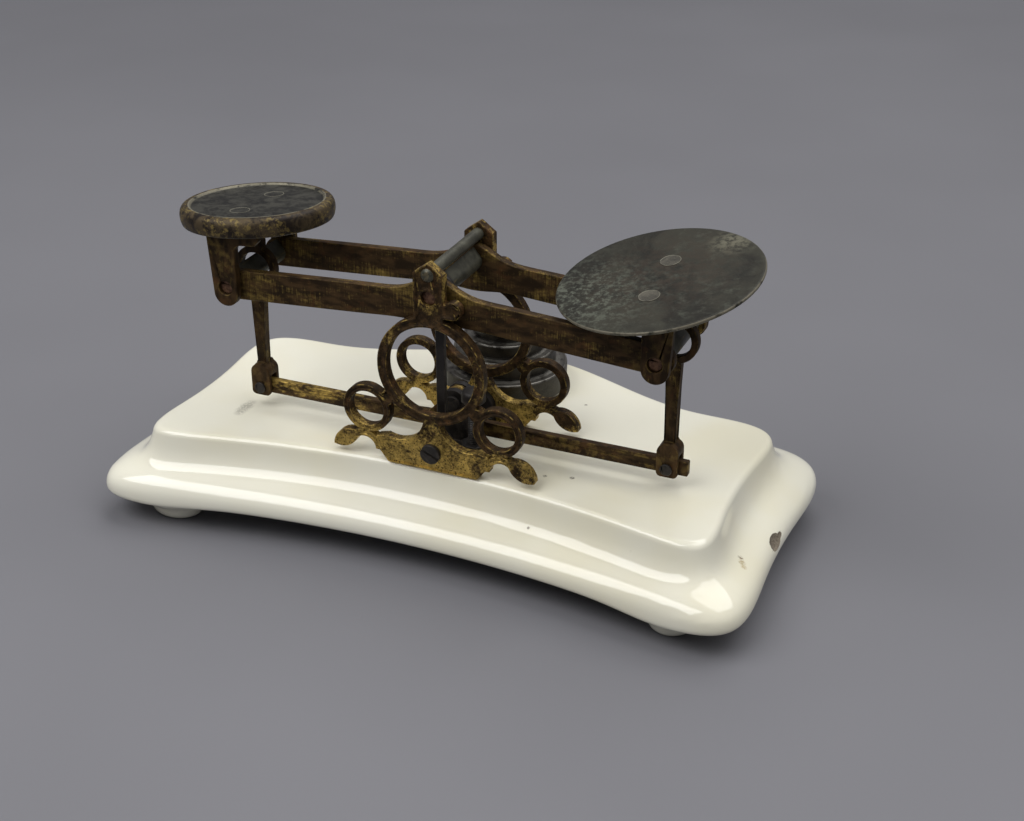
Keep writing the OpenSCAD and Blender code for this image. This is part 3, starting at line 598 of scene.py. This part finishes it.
class LETTERSCALE_OT_base(bpy.types.Operator):
    """Smooth glazed base with the chip in its rim"""

    bl_idname = "letterscale.base"
    bl_label = "Glazed base"

    def execute(self, context):
        made = finishes()
        piece = copy_of("base", "glazed_base")
        self.clear_flats(piece)
        edit(piece, (bpy.ops.mesh.tris_convert_to_quads, {}))
        self.keep_corners(piece)
        modify(piece, "SUBSURF", levels=2, render_levels=2)
        self.dip_lip(piece, context.scene.letter_scale_sizes.lip_dip)
        self.tuck_feet(piece, context.scene.letter_scale_sizes.foot_tuck)
        piece.data.materials.clear()
        piece.data.materials.append(made["glaze"])
        self.chip(piece, made["bare"])
        smooth(piece, 40)
        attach(piece, "base_body")
        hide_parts("base")
        return {"FINISHED"}

    def clear_flats(self, piece):
        """Fills the deck and the roof each with one flat face; the stud's hole lies hidden under its nuts."""
        low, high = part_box("stud")
        stud = Vector(((low.x + high.x) / 2, (low.y + high.y) / 2))
        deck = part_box("base")[1].z
        roof = deck - BASE_WALL
        points = piece.data.vertices

        def flat(face):
            at = [points[i].co for i in face.vertices]
            in_hole = all((p.xy - stud).length < STUD_HOLE for p in at)
            on_deck = all(p.z > deck - TOUCH for p in at)
            on_roof = face.normal.z < -0.99 and all(abs(p.z - roof) < TOUCH for p in at)
            return in_hole or on_deck or on_roof

        edit_faces(piece, flat, (bpy.ops.mesh.delete, {"type": "FACE"}))
        for height in (deck, roof):
            activate(piece)
            bpy.ops.object.mode_set(mode="EDIT")
            bpy.ops.mesh.select_mode(type="VERT")
            bpy.ops.mesh.select_all(action="DESELECT")
            bpy.ops.mesh.select_non_manifold()
            bpy.ops.object.mode_set(mode="OBJECT")
            for vertex in piece.data.vertices:
                vertex.select = vertex.select and abs(vertex.co.z - height) < TOUCH
            for one in piece.data.edges:
                one.select = all(piece.data.vertices[i].select for i in one.vertices)
            bpy.ops.object.mode_set(mode="EDIT")
            bpy.ops.mesh.edge_face_add()
            bpy.ops.mesh.select_mode(type="FACE")
            bpy.ops.mesh.inset(thickness=0.0015)
            bpy.ops.mesh.inset(thickness=0.003)
            bpy.ops.object.mode_set(mode="OBJECT")

    def keep_corners(self, piece):
        """Creases the corners that the smoothing has to keep."""
        work = bmesh.new()
        work.from_mesh(piece.data)
        bmesh.ops.recalc_face_normals(work, faces=work.faces)
        layer = work.edges.layers.float.get("crease_edge") or work.edges.layers.float.new("crease_edge")
        for one in work.edges:
            if len(one.link_faces) == 2 and one.calc_face_angle() > math.radians(48):
                one[layer] = 0.9
        work.to_mesh(piece.data)
        work.free()

    def dip_lip(self, piece, depth):
        """Draws the lip down a little above each foot, as the moulding does."""
        bottom, top, reach = 0.006, 0.017, 0.016
        starting, ending = 0.0035, 0.0055
        for x, share in ((-FOOT_X, 0.65), (FOOT_X, 1.0)):
            for y, part in ((-0.0560, 1.0), (0.0320, 0.6)):
                for vertex in piece.data.vertices:
                    p = vertex.co
                    if not bottom < p.z < top:
                        continue
                    away = ((p.x - x) / reach) ** 2 + ((p.y - y) / reach) ** 2
                    rise = min((p.z - bottom) / starting, 1) * min((top - p.z) / ending, 1)
                    vertex.co.z -= depth * part * share * rise * math.exp(-away)

    def tuck_feet(self, piece, depth):
        """Curls the front feet back under the lip and draws them in towards the sole."""
        top, fading, back, inner = 0.0085, 0.0045, -0.046, 0.076
        for vertex in piece.data.vertices:
            p = vertex.co
            if p.z > top or p.y > back or abs(p.x) < inner:
                continue
            part = min((top - p.z) / fading, 1)
            part = part * part * (3 - 2 * part)
            side = math.copysign(FOOT_X, p.x)
            wide = 1 - 0.12 * part if p.x > 0 else 1 + 0.10 * part
            vertex.co.x = side + (p.x - side) * wide
            vertex.co.y = FRONT_FOOT_Y + (p.y - FRONT_FOOT_Y) * (1 - 0.16 * part) + depth * part

    def chip(self, piece, bare):
        """Cuts the rim's chip with rough lumps whose faces keep the bare ceramic."""
        lumps = (  # centre in metres, half sizes in millimetres, degrees about Y
            ((0.1123, -0.0156, 0.0156), (1.3, 4.6, 2.9), -32),
            ((0.1127, -0.0112, 0.0156), (0.8, 3.0, 1.5), -38),
        )
        dice = random.Random(7)
        for centre, size, turn in lumps:
            bpy.ops.mesh.primitive_ico_sphere_add(subdivisions=4, radius=1, location=(0, 0, 0))
            lump = bpy.context.active_object
            for vertex in lump.data.vertices:
                vertex.co *= 1 + dice.uniform(-0.05, 0.05)
            turned = Matrix.Rotation(math.radians(turn), 4, "Y")
            scaled = Matrix.Diagonal((*[s * MM for s in size], 1))
            lump.data.transform(Matrix.Translation(centre) @ turned @ scaled)
            lump.data.materials.append(bare)
            modify(
                piece, "BOOLEAN",
                object=lump, operation="DIFFERENCE", solver="EXACT", material_mode="TRANSFER",
            )
            bpy.data.objects.remove(lump, do_unlink=True)


class LETTERSCALE_OT_frames(bpy.types.Operator):
    """Openwork frames with rounded, rubbed edges and a raised border"""

    bl_idname = "letterscale.frames"
    bl_label = "Frames"

    def execute(self, context):
        made = finishes()
        sizes = context.scene.letter_scale_sizes
        step_width, step_depth = 0.00022, 0.00024
        for side, way in (("front", -1), ("rear", 1)):
            piece = copy_of(side + "_frame", side + "_casting")
            round_edges(piece, sizes.casting_edge)
            low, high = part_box(side + "_frame")
            outer = low.y if way < 0 else high.y
            edit_faces(
                piece,
                lambda face: abs(face.center.y - outer) < 2e-5 and abs(face.normal.y) > 0.999,
                (bpy.ops.mesh.inset, {"thickness": sizes.casting_border, "use_even_offset": False}),
                (bpy.ops.mesh.inset, {"thickness": step_width, "depth": -step_depth, "use_even_offset": False}),
            )
            smooth(piece)
            fit(piece, side + "_frame", "base_body", made["casting"])
        return {"FINISHED"}


class LETTERSCALE_OT_beam(bpy.types.Operator):
    """Side bars, knife bars with recessed ends, pointer and check link"""

    bl_idname = "letterscale.beam"
    bl_label = "Beam and link"

    def execute(self, context):
        made = finishes()
        sizes = context.scene.letter_scale_sizes
        for node, name, body, slot, look in (
            ("front_side_bar", "front_bar", "beam", "bar_brass", "bar"),
            ("rear_side_bar", "rear_bar", "beam", "bar_brass", "bar"),
            ("pointer", "balance_pointer", "beam", "dark_steel", "black"),
            ("check_link", "link_bar", "link", "bar_brass", "link"),
        ):
            piece = copy_of(node, name)
            round_edges(piece, sizes.bar_edge)
            fit(piece, node, body, made[look])
        for node, name in (
            ("fulcrum_bar", "fulcrum_knife"), ("left_end_bar", "left_knife"), ("right_end_bar", "right_knife"),
        ):
            piece = copy_of(node, name)
            self.recess(piece, node, sizes.knife_recess)
            round_edges(piece, sizes.bar_edge)
            fit(piece, node, "beam", made["knife"])
        return {"FINISHED"}

    def recess(self, piece, node, depth):
        """Draws both ends in, and marks them for rust."""
        low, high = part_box(node)
        layer = piece.data.attributes.new("end", "FLOAT", "POINT")
        for vertex in piece.data.vertices:
            if vertex.co.y < low.y + TOUCH:
                vertex.co.y += depth
                layer.data[vertex.index].value = 1.0
            elif vertex.co.y > high.y - TOUCH:
                vertex.co.y -= depth
                layer.data[vertex.index].value = 1.0


class LETTERSCALE_OT_carriers(bpy.types.Operator):
    """Carriers with their link pins"""

    bl_idname = "letterscale.carriers"
    bl_label = "Carriers"

    def execute(self, context):
        made = finishes()
        sizes = context.scene.letter_scale_sizes
        for side, body in (("left", "weights_carriage"), ("right", "letter_carriage")):
            piece = copy_of(side + "_carrier", side + "_bracket")
            round_edges(piece, sizes.bar_edge)
            fit(piece, side + "_carrier", body, made["carrier"])
            piece = copy_of(side + "_link_pin", side + "_pin")
            round_edges(piece, sizes.fixing_edge)
            fit(piece, side + "_link_pin", body, made["black"])
        return {"FINISHED"}


class LETTERSCALE_OT_pans(bpy.types.Operator):
    """Both pans, turned in their leaning planes, with their flush rivets"""

    bl_idname = "letterscale.pans"
    bl_label = "Pans"

    def execute(self, context):
        made = finishes()
        self.small_pan(made)
        self.letter_pan(made)
        for side, mount, body, deep in (
            ("left", "weights_pan_face", "weights_carriage", 8.4),
            ("right", "letter_pan_face", "letter_carriage", 4.1),
        ):
            heads = [self.rivet(side, y, deep) for y in (-10.8, 10.8)]
            piece = join(*heads)
            piece.name = side + "_rivets"
            piece.data.transform(seat(mount))
            smooth(piece)
            fit(piece, side + "_pan_rivets", body, made["rivet"])
        return {"FINISHED"}

    def small_pan(self, made):
        """An inverted dish: face at height 0, a bead round it and a rounded skirt."""
        r, tall, thick, dip = 26.1, 5.6, 1.55, 0.8
        bead, belly = r - 3.8, -2.4
        inside = r - thick
        profile = [(0, -thick), (bead - 1, -thick)]
        profile += curve_of((bead - 1, -thick), (inside - 1.5, -thick), (inside, belly), (inside - 0.7, -tall))
        profile += [(r - 1.5, -tall), (r - 1.15, -tall + 0.15), (r - 0.9, -tall + 0.6)]
        profile += curve_of(
            (r - 0.9, -tall + 0.6), (r, belly), (r - 0.4, dip - 0.5), (r - 2.3, dip - 0.05), steps=12,
        )
        profile += [(bead + 0.55, dip), (bead + 0.40, dip + 0.02)]
        profile += [(bead + 0.15, dip + 0.06), (bead - 0.05, dip - 0.05)]
        profile += [(bead - 0.25, 0.35), (bead - 0.65, 0.12), (bead - 1.1, 0), (bead - 1.6, 0), (0, 0)]
        piece = lathe("small_dish", profile)
        wear = piece.data.attributes.new("wear", "FLOAT", "POINT")
        skirt = piece.data.attributes.new("skirt", "FLOAT", "POINT")
        for vertex in piece.data.vertices:
            radius = vertex.co.xy.length / MM
            if vertex.co.z > 0.0003 and bead - 0.3 < radius < bead + 0.45:
                wear.data[vertex.index].value = 1.0
            if radius > bead + 0.3:
                skirt.data[vertex.index].value = 1.0
        smooth(piece, 40)
        piece.data.transform(seat("weights_pan_face"))
        fit(piece, "left_pan", "weights_carriage", made["small_pan"])

    def letter_pan(self, made):
        """A thin disc with a rounded rim, very slightly dished inside it."""
        r, thick = 32.3, 1.3
        round_r = thick / 2
        profile = [(0, -thick)]
        for i in range(9):
            a = math.radians(-90 + 22.5 * i)
            profile.append((r - round_r + round_r * math.cos(a), -round_r + round_r * math.sin(a)))
        profile += [(r - 1.3, 0), (r - 2.0, -0.03), (r - 3.4, -0.06), (r - 9, -0.08), (0, -0.08)]
        piece = lathe("letter_plate", profile, steps=128)
        wear = piece.data.attributes.new("wear", "FLOAT", "POINT")
        for vertex in piece.data.vertices:
            if vertex.co.xy.length / MM > r - 0.35:
                wear.data[vertex.index].value = 1.0
        smooth(piece, 40)
        piece.data.transform(seat("letter_pan_face"))
        fit(piece, "right_pan", "letter_carriage", made["letter_pan"])

    def rivet(self, side, y, deep):
        """A rivet whose filed head shows as a thin bright ring."""
        profile = [(0, -deep), (1.9, -deep), (2.2, -deep + 0.25), (2.0, -deep + 0.6)]
        profile += [(1.6, -deep + 0.7), (1.6, -1), (3.1, -0.15), (3.42, -0.02)]
        profile += [(3.38, 0.06), (3.26, 0.09), (3.12, 0.06), (3.02, -0.01), (0, 0.0)]
        piece = lathe("{}_rivet".format(side), profile, steps=40)
        wear = piece.data.attributes.new("wear", "FLOAT", "POINT")
        for vertex in piece.data.vertices:
            if vertex.co.z > 0.00004 and vertex.co.xy.length > 0.0029:
                wear.data[vertex.index].value = 1.0
        piece.data.transform(Matrix.Translation((0, y * MM, 0)))
        return piece


class LETTERSCALE_OT_fixings(bpy.types.Operator):
    """Bridge, screws, nuts, threaded stud, tie rod and centre pin"""

    bl_idname = "letterscale.fixings"
    bl_label = "Fixings"

    def execute(self, context):
        made = finishes()
        sizes = context.scene.letter_scale_sizes
        for node, name, slot, look in (
            ("bridge", "bridge_casting", "dark_steel", "black"),
            ("front_frame_screw", "front_screw", "dark_steel", "black"),
            ("rear_frame_screw", "rear_screw", "dark_steel", "black"),
            ("stud_nut", "bridge_nut", "dark_steel", "black"),
            ("under_nut", "hollow_nut", "dark_steel", "black"),
            ("tie_rod", "head_rod", "knife_steel", "steel"),
            ("link_pivot_pin", "centre_pin", "dark_steel", "black"),
        ):
            piece = copy_of(node, name)
            round_edges(piece, sizes.fixing_edge)
            fit(piece, node, "base_body", made[look])
        self.stud(sizes, made)
        return {"FINISHED"}

    def stud(self, sizes, made):
        """A rod with cut threads, under a domed head."""
        low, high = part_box("stud")
        centre = ((low.x + high.x) / 2, (low.y + high.y) / 2, low.z)
        tall = (high.z - low.z) / MM
        head_r = (high.x - low.x) / 2 / MM
        rod = 2.0
        pitch = sizes.thread_pitch / MM
        root = rod - sizes.thread_depth / MM
        neck, dome = tall - 5.0, tall - 2.2
        turns = int((neck - 1.6) / pitch)
        profile = [(0, 0), (root, 0), (root, 0.3)]
        for i in range(turns):
            z = 0.4 + i * pitch
            profile += [(root, z), (rod, z + pitch * 0.35), (rod, z + pitch * 0.5), (root, z + pitch * 0.85)]
        profile += [(rod, neck - 0.7), (rod, neck), (head_r - 0.5, neck), (head_r, neck + 0.5), (head_r, dome)]
        profile += [
            (head_r - 1.2 * (1 - math.cos(a)), dome + 1.6 * math.sin(a))
            for a in (math.radians(d) for d in (18, 36, 54, 72, 90))
        ]
        profile += [(1.2, tall - 0.1), (0, tall)]
        piece = lathe("threaded_stud", profile, centre, 48)
        mark_wear(piece, 40)
        smooth(piece, 30)
        fit(piece, "stud", "base_body", made["black"])


class LETTERSCALE_OT_weights(bpy.types.Operator):
    """Turned disc weights with eased rims and a shallow groove on top"""

    bl_idname = "letterscale.weights"
    bl_label = "Weights"

    def execute(self, context):
        made = finishes()
        for letter in "abcd":
            node = "weight_" + letter
            low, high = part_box(node)
            radius = (high.x - low.x) / 2 / MM
            tall = (high.z - low.z) / MM
            centre = ((low.x + high.x) / 2, (low.y + high.y) / 2, low.z)
            ease, groove = 0.7, 0.12
            arc = [math.radians(d) for d in range(0, 91, 18)]
            profile = [(0, 0), (radius - ease, 0)]
            profile += [(radius - ease * (1 - math.sin(a)), ease * (1 - math.cos(a))) for a in arc[1:]]
            profile += [(radius, tall * 0.5)]
            profile += [(radius - ease * (1 - math.cos(a)), tall - ease * (1 - math.sin(a))) for a in arc]
            profile += [(radius - 2.0, tall), (radius - 2.25, tall - groove)]
            profile += [(radius - 2.6, tall - groove), (radius - 2.85, tall), (0, tall)]
            piece = lathe("disc_" + letter, profile, centre)
            mark_wear(piece, 16)
            smooth(piece)
            fit(piece, node, node + "_body", made["weight"])
        return {"FINISHED"}


class LETTERSCALE_OT_stage(bpy.types.Operator):
    """Floor, lamps, world and camera"""

    bl_idname = "letterscale.stage"
    bl_label = "Stage"

    def execute(self, context):
        colours = context.scene.letter_scale_colours
        self.floor(colours)
        self.world(colours)
        for lamp in LAMPS:
            self.lamp(*lamp)
        self.camera(context)
        context.scene.view_settings.view_transform = "Standard"
        return {"FINISHED"}

    def floor(self, colours):
        bpy.ops.mesh.primitive_circle_add(vertices=96, radius=6, fill_type="NGON", location=(0, 0, 0))
        floor = bpy.context.active_object
        floor.name = "table_top"
        f = Finish("table_top")
        tone = tuple(colours.floor)
        cloud = f.mix(f.span(f.noise(3, 3), 0.3, 0.7), shade(tone, 0.95), shade(tone, 1.05))
        f.set(Base_Color=cloud, Roughness=0.7, Normal=f.bump(f.noise(700, 3), 0.05, 0.0004))
        floor.data.materials.append(f.material)

    def world(self, colours):
        """A dim world light that the camera and the reflections see in the floor's tone."""
        world = bpy.data.worlds.new("studio")
        bpy.context.scene.world = world
        world.use_nodes = True
        nodes, links = world.node_tree.nodes, world.node_tree.links
        light = nodes["Background"]
        light.inputs["Color"].default_value = (0.90, 0.94, 1.0, 1)
        light.inputs["Strength"].default_value = 0.15
        seen = nodes.new("ShaderNodeBackground")
        seen.inputs["Color"].default_value = (*shade(tuple(colours.floor), 1.1), 1)
        path = nodes.new("ShaderNodeLightPath")
        straight = path.outputs["Is Camera Ray"]
        for ray in ("Is Glossy Ray", "Is Transmission Ray"):
            either = nodes.new("ShaderNodeMath")
            either.operation = "MAXIMUM"
            links.new(straight, either.inputs[0])
            links.new(path.outputs[ray], either.inputs[1])
            straight = either.outputs[0]
        mix = nodes.new("ShaderNodeMixShader")
        links.new(straight, mix.inputs[0])
        links.new(light.outputs[0], mix.inputs[1])
        links.new(seen.outputs[0], mix.inputs[2])
        links.new(mix.outputs[0], nodes["World Output"].inputs["Surface"])

    def lamp(self, name, place, aim, size, power, shines):
        light = bpy.data.lights.new(name, "AREA")
        light.shape = "RECTANGLE"
        light.size, light.size_y = size
        light.energy = power
        lamp = bpy.data.objects.new(name, light)
        lamp.location = place
        lamp.rotation_euler = (Vector(aim) - Vector(place)).to_track_quat("-Z", "Y").to_euler()
        lamp.visible_glossy = shines
        bpy.context.scene.collection.objects.link(lamp)

    def camera(self, context):
        data = bpy.data.cameras.new("view")
        data.sensor_fit = "HORIZONTAL"
        data.sensor_width = 36
        data.lens = CAMERA_LENS
        data.clip_start = 0.02
        camera = bpy.data.objects.new("view", data)
        camera.location = CAMERA_PLACE
        camera.rotation_euler = (math.radians(90 - CAMERA_DOWN), 0, math.radians(CAMERA_ROUND))
        context.scene.collection.objects.link(camera)
        context.scene.camera = camera


OPERATORS = (
    LETTERSCALE_OT_base,
    LETTERSCALE_OT_frames,
    LETTERSCALE_OT_beam,
    LETTERSCALE_OT_carriers,
    LETTERSCALE_OT_pans,
    LETTERSCALE_OT_fixings,
    LETTERSCALE_OT_weights,
    LETTERSCALE_OT_stage,
)


class LETTERSCALE_PT_panel(bpy.types.Panel):
    bl_label = "Letter Scale"
    bl_space_type = "VIEW_3D"
    bl_region_type = "UI"
    bl_category = "Letter Scale"

    def draw(self, context):
        for settings in (context.scene.letter_scale_sizes, context.scene.letter_scale_colours):
            for key in settings.__annotations__:
                self.layout.prop(settings, key)
        for operator in OPERATORS:
            self.layout.operator(operator.bl_idname)


CLASSES = (LetterScaleSizes, LetterScaleColours, *OPERATORS, LETTERSCALE_PT_panel)


def register():
    for one in CLASSES:
        bpy.utils.register_class(one)
    bpy.types.Scene.letter_scale_sizes = PointerProperty(type=LetterScaleSizes)
    bpy.types.Scene.letter_scale_colours = PointerProperty(type=LetterScaleColours)


def unregister():
    del bpy.types.Scene.letter_scale_colours
    del bpy.types.Scene.letter_scale_sizes
    for one in reversed(CLASSES):
        bpy.utils.unregister_class(one)


def main():
    register()
    for name in ("base", "frames", "beam", "carriers", "pans", "fixings", "weights", "stage"):
        getattr(bpy.ops.letterscale, name)()


if __name__ == "__main__":
    main()
